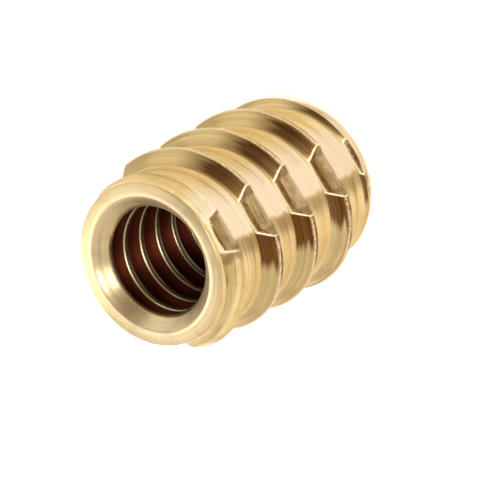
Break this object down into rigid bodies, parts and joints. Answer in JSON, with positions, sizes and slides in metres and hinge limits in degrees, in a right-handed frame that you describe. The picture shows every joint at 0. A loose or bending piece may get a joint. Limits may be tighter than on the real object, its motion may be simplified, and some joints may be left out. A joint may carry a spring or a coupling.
{
  "type": "threaded insert",
  "caption": "Screw-in brass insert: coarse slotted outside thread for wood or other soft material, fine inside thread for a machine screw.",
  "frame": {"origin": "centre of the flat far end, on the bore's axis", "axes": "+Z along the bore, from the far end up to the countersunk mouth; one lengthwise slot faces -Y"},
  "size_m": [0.0092, 0.009, 0.0124],
  "materials": {
    "brass": "bright turned brass"
  },
  "bodies": {
    "root": {"insert": "brass"}
  },
  "joints": []
}
